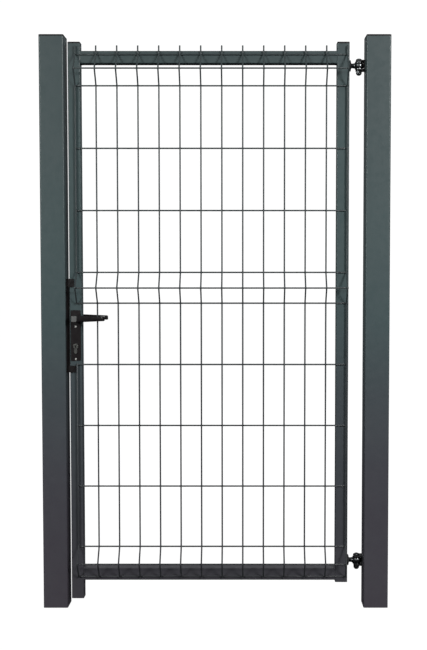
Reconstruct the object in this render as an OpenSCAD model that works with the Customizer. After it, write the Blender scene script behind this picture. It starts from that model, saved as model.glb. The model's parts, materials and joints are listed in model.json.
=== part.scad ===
// Garden gate: two posts, a framed leaf filled with folded welded wire, adjustable hinges and a lever lock.
// Millimetres, +Z up. The leaf is closed; the origin is on the ground midway between the posts.

/* [Opening and posts] */
// clear opening between the two posts
opening_w = 970; // [780:1:1250]
// height of the post tubes above ground
post_h = 1856; // [1810:1:2300]
// width of the square post tube
post_w = 80; // [60:1:120]
// wall of the post tube
post_wall = 3; // [2:0.5:5]
// corner radius of the post tube
post_r = 5; // [3.5:0.5:8]
// height of the post cap above the tube
post_cap_h = 6; // [4:0.5:12]

/* [Leaf frame] */
// gap between the leaf and the lock post
lock_gap = 10; // [10:0.5:13]
// gap between the leaf and the hinge post
hinge_gap = 52; // [48:1:65]
// width of the square leaf tube
tube_w = 40; // [40:1:48]
// wall of the leaf tube
tube_wall = 2; // [1.5:0.5:2.5]
// corner radius of the leaf tube
tube_r = 3; // [2.5:0.5:5]
// top of the stiles below the top of the posts
leaf_drop = 20; // [10:1:40]
// height of the lower end of the lock stile
lock_stile_foot = 26; // [10:1:80]
// height of the lower end of the hinge stile
hinge_stile_foot = 80; // [10:1:86]
// height of the underside of the bottom rail
bottom_rail_z = 87; // [80:1:95]
// top of the top rail below the top of the stiles
top_rail_drop = 24; // [15:1:35]
// height of the stile caps above the tube
stile_cap_h = 6; // [4:0.5:10]

/* [Wire mesh] */
// diameter of the mesh wires
wire_d = 5; // [4:0.5:6]
// first upright wire from the lock edge of the leaf
mesh_lock_inset = 24.65; // [24:0.05:27]
// last upright wire from the hinge edge of the leaf
mesh_hinge_inset = 7.15; // [6:0.05:20]
// top cross wire below the top of the stiles
mesh_top_drop = 36; // [30:1:45]
// height of the lowest cross wire
mesh_foot = 100; // [96:1:110]
// half the height of each fold
fold_h = 50; // [42:1:52]
// depth of each fold to its sharp corner
fold_d = 40; // [30:1:48]
// bend radius of the folded wires
bend_r = 8; // [7:0.5:9]
// upright wires above the top cross wire
spike_h = 27.5; // [15:0.5:35]
// cross wires past the outer upright wires
wire_overhang = 4; // [3:0.5:5]

/* [Hinges] */
// top hinge pin below the top of the posts
hinge_top_drop = 89; // [70:1:140]
// height of the bottom hinge
hinge_bottom_z = 150; // [130:1:260]
// diameter of the hinge pins
pin_d = 12; // [10:0.5:13]
// diameter of the eye of each eye bolt
eye_d = 32; // [28:1:34]
// height of the eye between its flats
eye_h = 18; // [14:1:20]
// wall of the plastic bush in the eye
bush_wall = 2; // [1.5:0.25:2.5]
// diameter of the threaded shank
rod_d = 16; // [12:0.5:18]
// reach of the shank into the stile
rod_reach = 33; // [20:1:35]
// thickness of the bracket ears
ear_t = 4.5; // [3:0.5:6]
// thickness of the bracket back plate
bracket_back_t = 4; // [2.5:0.5:4]
// width of the hinge bracket
bracket_w = 38; // [32:1:46]
// diameter of the collar disc against the stile
collar_d = 36; // [28:1:38]
// outer diameter of the threaded insert in the stile
insert_d = 24; // [21:0.5:28]
// diameter of the washers
washer_d = 26; // [22:1:30]
// thickness of the washers
washer_t = 2.8; // [2:0.1:4]

/* [Lock] */
// lever axis below the cross wire above the lock
lever_drop = 50; // [45:1:52]
// distance from the lever axis to the cylinder axis
lock_centres = 90; // [85:1:92]
// width of the lock plates
plate_w = 32; // [28:1:36]
// height of the lock plates
plate_h = 165; // [155:1:168]
// top of the lock plates above the lever axis
plate_rise = 27; // [20:1:32]
// thickness of the lock plates
plate_t = 3; // [2:0.5:4]
// length of each lever from its axis to its tip
lever_len = 97.5; // [75:0.5:130]
// outer face of the lever from the lock plate
lever_out = 39; // [32:1:50]
// thickness of the lever arm
lever_t = 10; // [7:0.5:13]
// height of the lever arm at the neck
lever_root_h = 22; // [18:0.5:26]
// height of the lever arm at the tip
lever_tip_h = 14.5; // [12:0.5:18]
// width of the lever neck
neck_w = 17; // [17:0.5:22]
// height of the lever neck
neck_h = 19; // [17:0.5:24]
// how far the tip of the lever is returned
lever_return = 7; // [2:0.5:14]
// width of the square spindle
spindle_w = 8; // [7:0.5:9]
// height of the faceplate
face_h = 200; // [196:1:202]
// width of the faceplate
face_w = 24; // [21:1:28]
// thickness of the faceplate
face_t = 3; // [2:0.5:3]
// width of the lock case
case_w = 18; // [17:0.5:19]
// height of the latch above the lever axis
latch_rise = 22; // [21.5:0.5:22.5]
// thickness of the latch
latch_w = 12; // [10:0.5:12.5]
// height of the latch
latch_h = 16; // [14:0.5:16]
// reach of the latch past the faceplate
latch_reach = 11; // [7:0.5:12]
// dead bolt centre below the lever axis
bolt_below = 50; // [48:1:51]
// thickness of the dead bolt
bolt_w = 9; // [7:0.5:11]
// height of the dead bolt
bolt_h = 22; // [18:0.5:22]
// diameter of the head of the lock cylinder
cyl_d = 17; // [17:0.5:18]
// height of the lock cylinder
cyl_h = 33; // [33:0.5:34]
// width of the lower part of the lock cylinder
cyl_w = 10; // [9:0.5:11]
// lock cylinder past each lock plate
cyl_proud = 4; // [1:0.5:8]
// diameter of the turning barrel
plug_d = 13; // [11:0.5:13.5]

/* [Keep] */
// thickness of the keep on the post
keep_t = 6; // [4:0.5:6]
// keep past the lever axis, upwards
keep_up = 103; // [80:1:103]
// keep past the lever axis, downwards
keep_down = 154; // [153:1:155]
// height of the top stop
top_stop_h = 26; // [14:1:40]
// height of the bottom stop
bottom_stop_h = 21.3; // [14:0.1:40]
// reach of the top stop in front of the stile
top_stop_reach = 16; // [13:0.5:18]
// reach of the bottom stop in front of the stile
bottom_stop_reach = 19.6; // [13:0.1:20]
// thickness of the stop tabs
stop_t = 4; // [3:0.5:6]
// height of the rubber buffers from the stop tab
buffer_h = 1.7; // [1:0.1:4]
// diameter of the rubber buffers
buffer_d = 10; // [7:0.5:12]

/* [Clearances] */
// radial clearance where one piece turns in another
turn_fit = 0.05; // [0.02:0.01:0.1]
// clearance on each side of sliding and square fits
slide_fit = 0.1; // [0.05:0.01:0.2]
// seat between pieces that are fixed together
seat = 0.05; // [0.02:0.01:0.2]
// space between the leaf and the rubber buffers
stop_gap = 0.3; // [0.2:0.05:1]
// space between the open leaf and the hinge post
swing_gap = 0.5; // [0.3:0.1:1.5]

/* [Hidden] */
$fn = 48;
upright_count = 14;

// frame lines
half_open = opening_w / 2;
post_x = half_open + post_w / 2;
leaf_x0 = -half_open + lock_gap;
leaf_x1 = half_open - hinge_gap;
half_tube = tube_w / 2;
lock_x = leaf_x0 + half_tube;
hinge_stile_x = leaf_x1 - half_tube;
stile_top = post_h - leaf_drop;
top_rail_z = stile_top - top_rail_drop - half_tube;
bottom_rail_cz = bottom_rail_z + half_tube;
rail_x0 = leaf_x0 + tube_w + seat;
rail_x1 = leaf_x1 - tube_w - seat;

// mesh lines
wire_r = wire_d / 2;
mesh_top = stile_top - mesh_top_drop;
cell_h = (mesh_top - mesh_foot - 6 * fold_h) / 7;
cross_y = -half_tube - seat - wire_r;
upright_y = cross_y - wire_d - seat;
fold_a = atan(fold_d / fold_h);
apex_y = upright_y - fold_d + bend_r * (1 / cos(fold_a) - 1);
apex_cross_y = apex_y + wire_d + seat;
bend_step = bend_r * tan(fold_a / 4);
bend_link = 2 * bend_step;
base_cut = bend_r * tan(fold_a / 2) - bend_step;
fold_leg = fold_h / cos(fold_a) - base_cut - bend_r * tan(fold_a) + bend_step;
ball_cut = wire_r * tan(fold_a / 4) + 0.03;
ball_r = sqrt(wire_r * wire_r + ball_cut * ball_cut) + 0.005;
lock_cell_z0 = mesh_foot + 2 * fold_h + 3 * cell_h;
lock_cell_z1 = lock_cell_z0 + cell_h;
fold_zs = [mesh_foot + fold_h, lock_cell_z1 + fold_h, mesh_top - fold_h];
flat_zs = concat(
  [mesh_foot],
  [for (i = [0:4]) mesh_foot + 2 * fold_h + i * cell_h],
  [for (i = [0:3]) lock_cell_z1 + 2 * fold_h + i * cell_h],
  [mesh_top]
);
mesh_x0 = leaf_x0 + mesh_lock_inset;
mesh_x1 = leaf_x1 - mesh_hinge_inset;
upright_pitch = (mesh_x1 - mesh_x0) / (upright_count - 1);

// hinge lines
pin_x = half_open - half_tube - swing_gap;
hinge_zs = [hinge_bottom_z, post_h - hinge_top_drop];
bracket_gap = eye_h + 2 * washer_t + 0.4;
bracket_h = bracket_gap + 2 * ear_t;
bush_od = pin_d + 2 * bush_wall;
head_d = pin_d + 8;
nut_af = pin_d * 1.5;

// lock lines
lever_z = lock_cell_z1 - lever_drop;
cyl_z = lever_z - lock_centres;
plate_y0 = half_tube;
plate_y1 = half_tube + plate_t;
plate_z0 = lever_z + plate_rise - plate_h;
screw_zs = [lever_z - 26, cyl_z - 42];
bush_hole = 20;
journal_d = 16;
neck_y = plate_y1 + 1.8;
lever_y = plate_y1 + lever_out;
face_z0 = cyl_z - 65;
case_z0 = face_z0 + 11;
case_z1 = face_z0 + face_h - 11;
case_x0 = leaf_x0 + 0.3;
case_x1 = leaf_x0 + tube_w - tube_wall - 1;
case_wall = 1.5;
face_x = leaf_x0 - face_t;
latch_z = lever_z + latch_rise;
latch_tip = face_x - latch_reach;
bolt_z = lever_z - bolt_below;
cyl_foot = cyl_h - cyl_d / 2;
cam_r = 14.5;
web_z = cyl_z - 15.5;
cyl_screw_z = cyl_z - cyl_foot + cyl_w / 2;
arm_tip = latch_rise - 2;
tail_z0 = latch_z - 6;
tail_z1 = latch_z + 2;
notch_z = lever_z + arm_tip + 1.2;
spring_z = tail_z1 + 3.5;
spring_r = 2.5;
spring_wire = 0.8;
spring_x0 = leaf_x0 + 5 + spring_wire / 2 + seat;
spring_x1 = case_x1 - case_wall - spring_wire / 2 - seat;

// keep lines
keep_x0 = -half_open;
keep_x1 = keep_x0 + keep_t;
keep_z0 = lever_z - keep_down;
keep_z1 = lever_z + keep_up;
tab_y1 = -half_tube - stop_gap - buffer_h;
tab_y0 = tab_y1 - stop_t;
keep_back_y = 15;
buffer_x = leaf_x0 + 8;
keep_screw_zs = [keep_z0 + 14, keep_z0 + 62, latch_z + 28, keep_z1 - 14];

// block between opposite corners
module block(x0, x1, y0, y1, z0, z1) {
  translate([x0, y0, z0])
    cube([x1 - x0, y1 - y0, z1 - z0]);
}

// round bar along X
module bar_x(x0, x1, y, z, d) {
  translate([x0, y, z])
    rotate([0, 90, 0])
      cylinder(d = d, h = x1 - x0);
}

// round bar along Y
module bar_y(x, z, y0, y1, d) {
  translate([x, y1, z])
    rotate([90, 0, 0])
      cylinder(d = d, h = y1 - y0);
}

// rectangle with round corners, centred
module soft_rect(w, h, r) {
  square([w - 2 * r, h], center = true);
  square([w, h - 2 * r], center = true);
  for (sx = [-1, 1], sy = [-1, 1])
    translate([sx * (w / 2 - r), sy * (h / 2 - r)])
      circle(r = r);
}

// square tube section
module tube_section(w, t, r) {
  difference() {
    soft_rect(w, w, r);
    soft_rect(w - 2 * t, w - 2 * t, r - t + 0.5);
  }
}

// standing square tube
module post_tube(x, z0, z1, w, t, r) {
  translate([x, 0, z0])
    linear_extrude(height = z1 - z0)
      tube_section(w, t, r);
}

// plastic cap with a hollow plug inside the tube
module tube_cap(x, z, w, t, r, h) {
  translate([x, 0, z + seat])
    linear_extrude(height = h - 1.5)
      soft_rect(w, w, r);
  translate([x, 0, z + seat + h - 1.5])
    linear_extrude(height = 1.5)
      soft_rect(w - 2, w - 2, r - 1);
  translate([x, 0, z - 14])
    linear_extrude(height = 14 + seat + 1)
      difference() {
        soft_rect(w - 2 * t - 0.4, w - 2 * t - 0.4, r - t + 0.5);
        soft_rect(w - 2 * t - 5, w - 2 * t - 5, 1.5);
      }
}

// countersunk screw along X; dir is the way its shank points
module csk_screw(x, y, z, dir, d, hd, len) {
  translate([x, y, z])
    rotate([0, dir * 90, 0])
      difference() {
        union() {
          cylinder(d1 = hd, d2 = d, h = (hd - d) / 2);
          cylinder(d = d, h = len);
        }
        translate([0, 0, -1])
          cylinder(d = d * 0.6, h = 2.6, $fn = 6);
      }
}

// hole for a countersunk screw along X
module csk_hole(x, y, z, dir, d, hd, len) {
  translate([x, y, z])
    rotate([0, dir * 90, 0]) {
      translate([0, 0, -1])
        cylinder(d = hd + 2 * slide_fit, h = 1 + seat);
      translate([0, 0, seat])
        cylinder(d1 = hd + 2 * slide_fit, d2 = d + 2 * slide_fit, h = (hd - d) / 2);
      cylinder(d = d + 2 * slide_fit, h = len + 1);
    }
}

// profile of the lock cylinder, its head centred on the origin
module cyl_profile(grow) {
  circle(d = cyl_d + 2 * grow);
  translate([-cyl_w / 2 - grow, -cyl_foot + cyl_w / 2])
    square([cyl_w + 2 * grow, cyl_foot - cyl_w / 2]);
  translate([0, -cyl_foot + cyl_w / 2])
    circle(d = cyl_w + 2 * grow);
}

// lock cylinder shape along Y
module cyl_solid(y0, y1, grow) {
  translate([lock_x, y1, cyl_z])
    rotate([90, 0, 0])
      linear_extrude(height = y1 - y0)
        cyl_profile(grow);
}

// runs of wire one after the other; each step is [turn towards the folds, length], with a ball at each turn
module wire_chain(steps, i, last) {
  run = steps[i][1];
  z0 = i == 0 ? 0 : ball_cut;
  z1 = i == last ? run : run - ball_cut;
  rotate([steps[i][0], 0, 0]) {
    translate([0, 0, z0])
      cylinder(r = wire_r, h = z1 - z0);
    if (i < last)
      translate([0, 0, run]) {
        sphere(r = ball_r);
        wire_chain(steps, i + 1, last);
      }
  }
}

// one fold, from its first turn to the run of length next after it
function fold_steps(next) = [
  [fold_a / 2, bend_link],
  [fold_a / 2, fold_leg],
  [-fold_a / 2, bend_link],
  [-fold_a / 2, bend_link],
  [-fold_a / 2, bend_link],
  [-fold_a / 2, fold_leg],
  [fold_a / 2, bend_link],
  [fold_a / 2, next]
];

module lock_post() {
  color("DimGray")
    difference() {
      post_tube(-post_x, 0, post_h, post_w, post_wall, post_r);
      block(keep_x0 - post_wall - 1, keep_x0 + 1, -6.6, 6.6, latch_z - 10, latch_z + 10);
      block(keep_x0 - post_wall - 1, keep_x0 + 1, -6.6, 6.6, bolt_z - 13, bolt_z + 13);
      for (z = keep_screw_zs)
        bar_x(keep_x0 - post_wall - 1, keep_x0 + 1, 0, z, 5 + 2 * slide_fit);
      for (z = [keep_z0 - bottom_stop_h / 2, keep_z1 + top_stop_h / 2])
        bar_x(keep_x0 - post_wall - 1, keep_x0 + 1, 0, z, 5 + 2 * slide_fit);
    }
}

module hinge_post() {
  color("DimGray")
    post_tube(post_x, 0, post_h, post_w, post_wall, post_r);
}

module lock_post_cap() {
  color("Black")
    tube_cap(-post_x, post_h, post_w, post_wall, post_r, post_cap_h);
}

module hinge_post_cap() {
  color("Black")
    tube_cap(post_x, post_h, post_w, post_wall, post_r, post_cap_h);
}

// strip on the post face, lead-in slope on the side the leaf comes from
module keep_strip(z0, z1) {
  translate([0, 0, z0])
    linear_extrude(height = z1 - z0)
      polygon([
        [keep_x0 + seat, tab_y0],
        [keep_x1, tab_y0],
        [keep_x1, keep_back_y - 3],
        [keep_x1 - 2.5, keep_back_y],
        [keep_x0 + seat, keep_back_y]
      ]);
}

module keep_body() {
  color("Black")
    difference() {
      keep_strip(keep_z0, keep_z1);
      block(keep_x0 - 1, keep_x1 + 1, -6.6, 6.6, latch_z - 10, latch_z + 10);
      block(keep_x0 - 1, keep_x1 + 1, -6.6, 6.6, bolt_z - 13, bolt_z + 13);
      for (z = keep_screw_zs)
        csk_hole(keep_x1, 0, z, -1, 5, 9, 12);
    }
}

// end stop: foot on the post, tab in front of the stile
module end_stop(z0, z1, reach) {
  difference() {
    union() {
      keep_strip(z0, z1);
      block(keep_x0 + seat, leaf_x0 + reach, tab_y0, tab_y1, z0, z1);
    }
    csk_hole(keep_x1, 0, (z0 + z1) / 2, -1, 5, 9, 12);
    bar_y(buffer_x, (z0 + z1) / 2, tab_y0 - 1, tab_y1 + 1, 4 + 2 * slide_fit);
  }
}

module keep_top_stop() {
  color("Black")
    end_stop(keep_z1 + seat, keep_z1 + top_stop_h, top_stop_reach);
}

module keep_bottom_stop() {
  color("Black")
    end_stop(keep_z0 - bottom_stop_h, keep_z0 - seat, bottom_stop_reach);
}

module stop_buffers() {
  color("DarkSlateGray")
    for (z = [keep_z1 + (top_stop_h + seat) / 2, keep_z0 - (bottom_stop_h + seat) / 2]) {
      bar_y(buffer_x, z, tab_y1 + seat, tab_y1 + buffer_h, buffer_d);
      bar_y(buffer_x, z, tab_y0 + 0.5, tab_y1 + seat, 4);
    }
}

module keep_screws() {
  color("Silver") {
    for (z = keep_screw_zs)
      csk_screw(keep_x1, 0, z, -1, 5, 9, 12);
    for (z = [keep_z1 + (top_stop_h + seat) / 2, keep_z0 - (bottom_stop_h + seat) / 2])
      csk_screw(keep_x1, 0, z, -1, 5, 9, 12);
  }
}

// U-shaped hinge bracket on the post face
module hinge_bracket(z) {
  ear_x = pin_x - 10;
  len_x = half_open - seat - ear_x;
  translate([0, 0, z - bracket_h / 2])
    difference() {
      translate([ear_x, 0, 0])
        linear_extrude(height = bracket_h) {
          translate([8, -bracket_w / 2])
            square([len_x - 8, bracket_w]);
          translate([0, -bracket_w / 2 + 8])
            square([9, bracket_w - 16]);
          for (s = [-1, 1])
            translate([8, s * (bracket_w / 2 - 8)])
              circle(r = 8);
        }
      block(ear_x - 1, half_open - bracket_back_t, -bracket_w, bracket_w, ear_t, bracket_h - ear_t);
      translate([pin_x, 0, -1])
        cylinder(d = pin_d + 2 * turn_fit, h = bracket_h + 2);
    }
}

module top_hinge_bracket() {
  color("Black")
    hinge_bracket(hinge_zs[1]);
}

module bottom_hinge_bracket() {
  color("Black")
    hinge_bracket(hinge_zs[0]);
}

module hinge_pins() {
  color("Silver")
    for (z = hinge_zs)
      translate([pin_x, 0, z]) {
        translate([0, 0, -bracket_h / 2 - 9])
          cylinder(d = pin_d, h = bracket_h + 10);
        translate([0, 0, bracket_h / 2 + seat])
          cylinder(d = head_d, h = 2.5);
        translate([0, 0, bracket_h / 2 + seat + 2.5])
          intersection() {
            scale([1, 1, 0.45])
              sphere(d = head_d);
            cylinder(d = head_d + 1, h = 6);
          }
      }
}

module hinge_nuts() {
  color("Silver")
    for (z = hinge_zs)
      translate([pin_x, 0, z - bracket_h / 2 - seat])
        difference() {
          union() {
            translate([0, 0, -9])
              cylinder(d = nut_af / cos(30), h = 9, $fn = 6);
            translate([0, 0, -15])
              cylinder(d1 = pin_d * 0.35, d2 = pin_d * 1.4, h = 6.5);
          }
          translate([0, 0, -10])
            cylinder(d = pin_d + 2 * seat, h = 11);
        }
}

module hinge_washers() {
  color("Silver")
    for (z = hinge_zs, s = [-1, 1])
      translate([pin_x, 0, z + s * (bracket_gap / 2 - seat - washer_t / 2) - washer_t / 2])
        difference() {
          cylinder(d = washer_d, h = washer_t);
          translate([0, 0, -1])
            cylinder(d = pin_d + 2 * slide_fit, h = washer_t + 2);
        }
}

module lock_stile() {
  color("DimGray")
    difference() {
      post_tube(lock_x, lock_stile_foot, stile_top, tube_w, tube_wall, tube_r);
      block(leaf_x0 - 1, leaf_x0 + tube_wall + 0.5, -case_w / 2 - 1, case_w / 2 + 1, case_z0 - 1, case_z1 + 1);
      bar_y(lock_x, lever_z, -half_tube - 1, half_tube + 1, bush_hole);
      cyl_solid(-half_tube - 1, half_tube + 1, 0.5);
      for (z = screw_zs)
        bar_y(lock_x, z, -half_tube - 1, half_tube + 1, 7);
      for (z = [face_z0 + 5, face_z0 + face_h - 5])
        bar_x(leaf_x0 - 1, leaf_x0 + tube_wall + 0.5, 0, z, 4 + 2 * slide_fit);
    }
}

module hinge_stile() {
  color("DimGray")
    difference() {
      post_tube(hinge_stile_x, hinge_stile_foot, stile_top, tube_w, tube_wall, tube_r);
      for (z = hinge_zs)
        bar_x(leaf_x1 - tube_wall - 0.5, leaf_x1 + 1, 0, z, rod_d + 1);
    }
}

// horizontal rail between the stiles
module rail(z) {
  translate([rail_x0, 0, z])
    rotate([90, 0, 90])
      linear_extrude(height = rail_x1 - rail_x0)
        tube_section(tube_w, tube_wall, tube_r);
}

module top_rail() {
  color("DimGray")
    rail(top_rail_z);
}

module bottom_rail() {
  color("DimGray")
    rail(bottom_rail_cz);
}

module lock_stile_cap() {
  color("Black")
    tube_cap(lock_x, stile_top, tube_w, tube_wall, tube_r, stile_cap_h);
}

module hinge_stile_cap() {
  color("Black")
    tube_cap(hinge_stile_x, stile_top, tube_w, tube_wall, tube_r, stile_cap_h);
}

// eye bolt: flattened ball with a bore, and its threaded shank
module eye_bolt(z) {
  difference() {
    union() {
      translate([pin_x, 0, z])
        intersection() {
          sphere(d = eye_d);
          cube([eye_d + 2, eye_d + 2, eye_h], center = true);
        }
      bar_x(leaf_x1 - rod_reach, pin_x - eye_d / 2 + 3, 0, z, rod_d);
    }
    translate([pin_x, 0, z - eye_h])
      cylinder(d = bush_od + 2 * seat, h = 2 * eye_h);
  }
}

module top_eye_bolt() {
  color("Silver")
    eye_bolt(hinge_zs[1]);
}

module bottom_eye_bolt() {
  color("Silver")
    eye_bolt(hinge_zs[0]);
}

module hinge_collars() {
  color("Black")
    for (z = hinge_zs)
      translate([leaf_x1 + seat, 0, z])
        rotate([0, 90, 0])
          difference() {
            union() {
              cylinder(d = collar_d, h = 4);
              translate([0, 0, 4])
                cylinder(d1 = rod_d + 12, d2 = rod_d + 4, h = 2.5);
            }
            translate([0, 0, -1])
              cylinder(d = rod_d + 2 * slide_fit, h = 9);
          }
}

module hinge_inserts() {
  color("Silver")
    for (z = hinge_zs)
      difference() {
        bar_x(leaf_x1 - tube_w + tube_wall + seat, leaf_x1 - tube_wall - seat, 0, z, insert_d);
        bar_x(leaf_x1 - tube_w, leaf_x1, 0, z, rod_d + 2 * seat);
      }
}

module hinge_bushes() {
  color("White")
    for (z = hinge_zs)
      translate([pin_x, 0, z - eye_h / 2])
        difference() {
          cylinder(d = bush_od, h = eye_h);
          translate([0, 0, -1])
            cylinder(d = pin_d + 2 * turn_fit, h = eye_h + 2);
        }
}

// one upright wire from z0 to z1 through the folds of zs
module folded_wire(x, z0, z1, zs) {
  n = len(zs);
  first = zs[0] - fold_h - base_cut - z0;
  runs = [for (i = [0:n - 1]) (i < n - 1 ? zs[i + 1] - fold_h - base_cut : z1) - zs[i] - fold_h - base_cut];
  steps = concat([[0, first]], [for (i = [0:n - 1]) each fold_steps(runs[i])]);
  translate([x, upright_y, z0])
    wire_chain(steps, 0, len(steps) - 1);
}

// the first upright wire is cut away behind the lock plate
module upright_wire(i) {
  x = mesh_x0 + (i - 1) * upright_pitch;
  z0 = mesh_foot - 1 - wire_r;
  z1 = mesh_top + spike_h;
  color("Gray")
    if (i == 1) {
      folded_wire(x, z0, lock_cell_z0 + 1 + wire_r, [fold_zs[0]]);
      folded_wire(x, lock_cell_z1 - 1 - wire_r, z1, [fold_zs[1], fold_zs[2]]);
    } else {
      folded_wire(x, z0, z1, fold_zs);
    }
}

module cross_wires() {
  color("Gray") {
    for (z = flat_zs)
      bar_x(mesh_x0 - wire_overhang, mesh_x1 + wire_overhang, cross_y, z, wire_d);
    for (z = fold_zs)
      bar_x(mesh_x0 - wire_overhang, mesh_x1 + wire_overhang, apex_cross_y, z, wire_d);
  }
}

module lock_case() {
  half = case_w / 2;
  inner = half - case_wall;
  color("SlateGray")
    difference() {
      block(case_x0, case_x1, -half, half, case_z0, case_z1);
      block(case_x0 + case_wall, case_x1 - case_wall, -inner, inner, case_z0 + case_wall, case_z1 - case_wall);
      bar_y(lock_x, lever_z, -half - 1, half + 1, journal_d + 2 * turn_fit);
      cyl_solid(-half - 1, half + 1, slide_fit);
      for (z = screw_zs)
        bar_y(lock_x, z, -half - 1, half + 1, 7);
      block(
        case_x0 - 1, case_x0 + 2, -latch_w / 2 - slide_fit, latch_w / 2 + slide_fit,
        latch_z - latch_h / 2 - slide_fit, latch_z + latch_h / 2 + slide_fit
      );
      block(
        case_x0 - 1, case_x0 + 2, -bolt_w / 2 - slide_fit, bolt_w / 2 + slide_fit,
        bolt_z - bolt_h / 2 - slide_fit, bolt_z + bolt_h / 2 + slide_fit
      );
      block(case_x1 - 2, case_x1 + 1, -3, 3, tail_z0 - 1, tail_z1 + 0.2);
      bar_x(case_x0 - 1, case_x0 + 3, 0, cyl_screw_z, 5 + 2 * slide_fit);
    }
}

module lock_faceplate() {
  color("Silver")
    difference() {
      translate([face_x, 0, face_z0 + face_h / 2])
        rotate([90, 0, 90])
          linear_extrude(height = face_t - seat)
            soft_rect(face_w, face_h, 2);
      block(
        face_x - 1, leaf_x0 + 1, -latch_w / 2 - slide_fit, latch_w / 2 + slide_fit,
        latch_z - latch_h / 2 - slide_fit, latch_z + latch_h / 2 + slide_fit
      );
      block(
        face_x - 1, leaf_x0 + 1, -bolt_w / 2 - slide_fit, bolt_w / 2 + slide_fit,
        bolt_z - bolt_h / 2 - slide_fit, bolt_z + bolt_h / 2 + slide_fit
      );
      for (z = [face_z0 + 5, face_z0 + face_h - 5])
        csk_hole(face_x, 0, z, 1, 4, 7.5, 10);
      csk_hole(face_x, 0, cyl_screw_z, 1, 5, 9, 10);
    }
}

module faceplate_screws() {
  color("Silver")
    for (z = [face_z0 + 5, face_z0 + face_h - 5])
      csk_screw(face_x, 0, z, 1, 4, 7.5, 10);
}

// lock plate on the side of s: -1 front, 1 back
module lock_plate(s, screw_hole) {
  y0 = s > 0 ? plate_y0 + seat : -plate_y1;
  y1 = s > 0 ? plate_y1 : -plate_y0 - seat;
  difference() {
    translate([lock_x, y1, plate_z0 + plate_h / 2])
      rotate([90, 0, 0])
        linear_extrude(height = y1 - y0)
          soft_rect(plate_w, plate_h, 3);
    bar_y(lock_x, lever_z, y0 - 1, y1 + 1, bush_hole);
    cyl_solid(y0 - 1, y1 + 1, slide_fit);
    for (z = screw_zs)
      bar_y(lock_x, z, y0 - 1, y1 + 1, screw_hole);
  }
}

module front_plate() {
  color("Black")
    lock_plate(-1, 4 + 2 * slide_fit);
}

module back_plate() {
  color("Black")
    lock_plate(1, 6 + 2 * slide_fit);
}

// through screws with sleeve nuts at the back
module plate_screws() {
  color("Silver")
    for (z = screw_zs) {
      difference() {
        union() {
          bar_y(lock_x, z, -plate_y1 - seat - 2, -plate_y1 - seat, 7);
          bar_y(lock_x, z, -plate_y1 - seat - 1, half_tube - 4, 4);
        }
        translate([lock_x, -plate_y1 - seat - 1, z])
          rotate([90, 0, 0])
            cylinder(d = 3, h = 3, $fn = 6);
      }
      difference() {
        union() {
          bar_y(lock_x, z, plate_y1 + seat, plate_y1 + seat + 2, 7);
          bar_y(lock_x, z, 5, plate_y1 + seat + 1, 6);
        }
        bar_y(lock_x, z, 4, half_tube - 2, 4 + 2 * seat);
      }
    }
}

module cylinder_body() {
  y = plate_y1 + cyl_proud;
  color("Silver")
    difference() {
      cyl_solid(-y, y, 0);
      bar_y(lock_x, cyl_z, -y - 1, y + 1, plug_d + 2 * turn_fit);
      block(lock_x - 20, lock_x + 20, -5, 5, web_z, cyl_z + 20);
      bar_x(lock_x - 20, lock_x + 4.2, 0, cyl_screw_z, 5 + 2 * seat);
    }
}

module cylinder_screw() {
  color("Silver")
    csk_screw(face_x, 0, cyl_screw_z, 1, 5, 9, lock_x + 4 - face_x);
}

module lever_bushes() {
  color("DimGray")
    for (s = [-1, 1])
      mirror([0, s > 0 ? 1 : 0, 0])
        difference() {
          union() {
            bar_y(lock_x, lever_z, -plate_y1 - seat, -plate_y0 - seat, bush_hole - 2 * seat);
            bar_y(lock_x, lever_z, -plate_y1 - seat - 1.4, -plate_y1 - seat, 24);
          }
          bar_y(lock_x, lever_z, -plate_y1 - 3, -plate_y0 + 1, journal_d + 2 * turn_fit);
        }
}

// spring as a stack of open rings joined by short bars, close to a coil
module latch_spring() {
  rings = 9;
  step = (spring_x1 - spring_x0) / (rings - 1);
  color("Silver")
    translate([spring_x0, 0, spring_z])
      rotate([0, 90, 0]) {
        for (i = [0:rings - 1])
          translate([0, 0, i * step])
            rotate_extrude()
              translate([spring_r, 0])
                circle(d = spring_wire);
        for (i = [0:rings - 2])
          translate([i % 2 == 0 ? spring_r : -spring_r, 0, i * step])
            cylinder(d = spring_wire * 0.75, h = step);
      }
}

// front lever; the back one is its mirror image
module lever_solid() {
  arm_y = -lever_y + lever_t;
  tip_x = lock_x + lever_len - lever_tip_h / 2;
  difference() {
    union() {
      bar_y(lock_x, lever_z, -neck_y - 1, -half_tube + 0.5, journal_d);
      block(
        lock_x - neck_w / 2, lock_x + neck_w / 2, -lever_y, -neck_y,
        lever_z - neck_h / 2, lever_z + neck_h / 2
      );
      translate([0, arm_y, lever_z])
        rotate([90, 0, 0])
          linear_extrude(height = lever_t)
            polygon([
              [lock_x, -neck_h / 2],
              [lock_x + neck_w / 2, -lever_root_h / 2],
              [tip_x, -lever_tip_h / 2],
              [tip_x, lever_tip_h / 2],
              [lock_x + neck_w / 2, lever_root_h / 2],
              [lock_x, neck_h / 2]
            ]);
      bar_y(tip_x, lever_z, -lever_y, arm_y + lever_return, lever_tip_h);
    }
    block(
      lock_x - spindle_w / 2 - slide_fit, lock_x + spindle_w / 2 + slide_fit, -lever_y + 11.5, 0,
      lever_z - spindle_w / 2 - slide_fit, lever_z + spindle_w / 2 + slide_fit
    );
    translate([lock_x, -neck_y - 12, lever_z - neck_h / 2 - 1])
      cylinder(d = 5 + 2 * seat, h = neck_h / 2);
    bar_y(lock_x, lever_z, -lever_y - 1, -lever_y + 5, 6 + 2 * seat);
  }
}

module front_lever() {
  color("Black")
    lever_solid();
}

module back_lever() {
  color("Black")
    mirror([0, 1, 0])
      lever_solid();
}

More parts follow.
